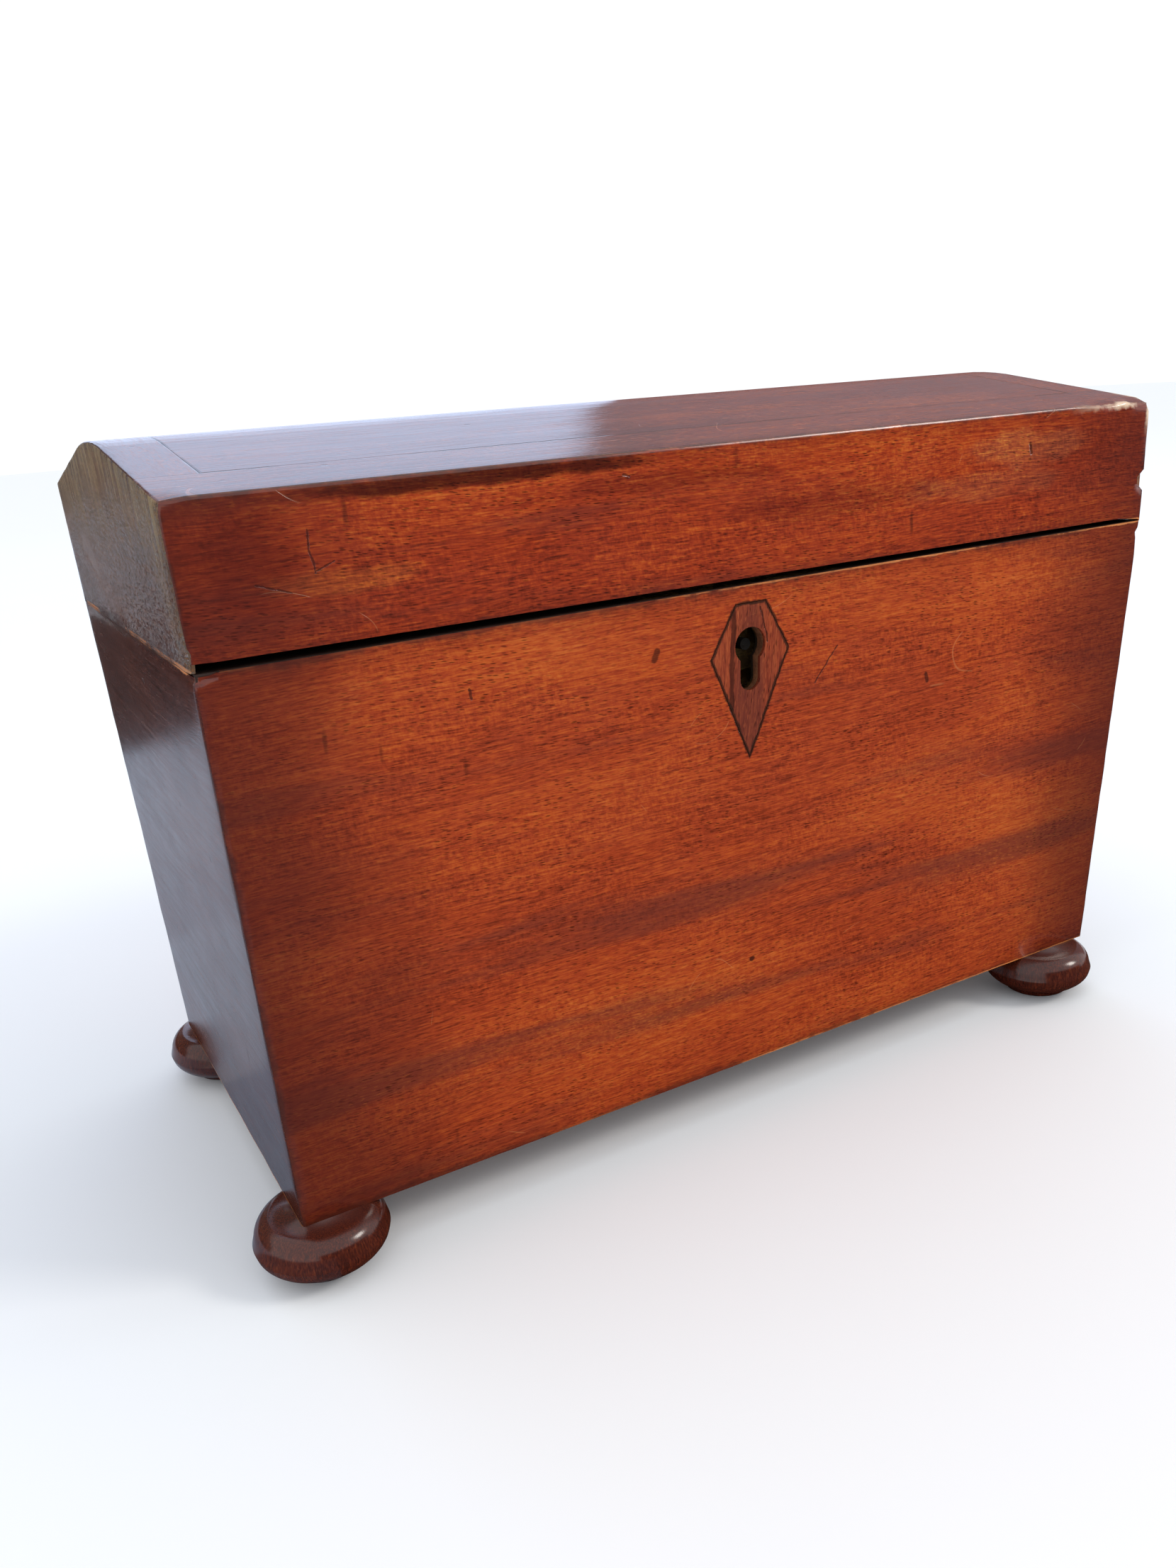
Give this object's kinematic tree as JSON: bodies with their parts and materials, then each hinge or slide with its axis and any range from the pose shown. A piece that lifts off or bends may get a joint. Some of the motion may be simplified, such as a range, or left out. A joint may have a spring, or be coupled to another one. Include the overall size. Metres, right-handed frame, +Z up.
{
  "type": "tea caddy",
  "caption": "Two-compartment wooden tea caddy with tapering sides, a ridged hinged lid, kite-shaped escutcheon, lock, inner tea lids and turned bun feet.",
  "frame": {"origin": "on the floor, at the middle of the bounding box's base", "axes": "+X to the right along the front, +Y from the front to the back, +Z up"},
  "size_m": [0.2358, 0.1236, 0.1618],
  "materials": {
    "mahogany_veneer": "old French polish over red-brown mahogany",
    "banding": "polished mahogany banding",
    "inlay": "dark polished inlay with upright grain",
    "carcass": "planed, waxed mahogany carcass",
    "turned_foot": "glossy turned mahogany",
    "tea_lid": "satin mahogany",
    "ebonised": "ebonised, polished",
    "foil": "dull tin and lead foil",
    "brass": "aged brass",
    "steel": "darkened steel"
  },
  "bodies": {
    "case": {"bottom_board": "carcass", "front_panel": "carcass", "back_panel": "carcass", "left_end": "carcass", "right_end": "carcass", "front_veneer": "mahogany_veneer", "back_veneer": "mahogany_veneer", "left_veneer": "mahogany_veneer", "right_veneer": "mahogany_veneer", "escutcheon": "inlay", "foot_front_left": "turned_foot", "foot_front_right": "turned_foot", "foot_rear_left": "turned_foot", "foot_rear_right": "turned_foot", "partition": "carcass", "left_foil_lining": "foil", "right_foil_lining": "foil", "left_front_fillet": "carcass", "left_back_fillet": "carcass", "right_front_fillet": "carcass", "right_back_fillet": "carcass", "left_hinge_case_leaf": "brass", "right_hinge_case_leaf": "brass", "left_hinge_pin": "steel", "right_hinge_pin": "steel", "case_hinge_screws": "brass", "lock_plate": "brass", "lock_case": "brass", "lock_drill_pin": "steel", "lock_spring": "steel", "lock_screws": "brass"},
    "lid": {"lid_front_rail": "carcass", "lid_back_rail": "carcass", "lid_left_end": "carcass", "lid_right_end": "carcass", "lid_top_board": "carcass", "lid_front_veneer": "mahogany_veneer", "lid_back_veneer": "mahogany_veneer", "lid_left_veneer": "mahogany_veneer", "lid_right_veneer": "mahogany_veneer", "top_panel": "mahogany_veneer", "top_front_band": "banding", "top_back_band": "banding", "top_left_band": "banding", "top_right_band": "banding", "left_hinge_lid_leaf": "brass", "right_hinge_lid_leaf": "brass", "lid_hinge_screws": "brass", "link_plate": "brass", "link_screws": "brass"},
    "left_tea_lid": {"left_tea_lid": "tea_lid", "left_tea_knob": "ebonised"},
    "right_tea_lid": {"right_tea_lid": "tea_lid", "right_tea_knob": "ebonised"},
    "bolt": {"lock_bolt": "brass"}
  },
  "joints": [
    {"name": "lid_hinge", "type": "hinge", "parent": "case", "child": "lid", "pos_m": [0.00137, 0.05965, 0.12475], "axis": [-1, 0, 0], "range_deg": [0, 100]},
    {"name": "left_tea_lid_lift", "type": "slide", "parent": "case", "child": "left_tea_lid", "axis": [0, 0, 1], "range_m": [0, 0.024]},
    {"name": "right_tea_lid_lift", "type": "slide", "parent": "case", "child": "right_tea_lid", "axis": [0, 0, 1], "range_m": [0, 0.024]},
    {"name": "bolt_slide", "type": "slide", "parent": "case", "child": "bolt", "axis": [1, 0, 0], "range_m": [0, 0.0035]}
  ]
}
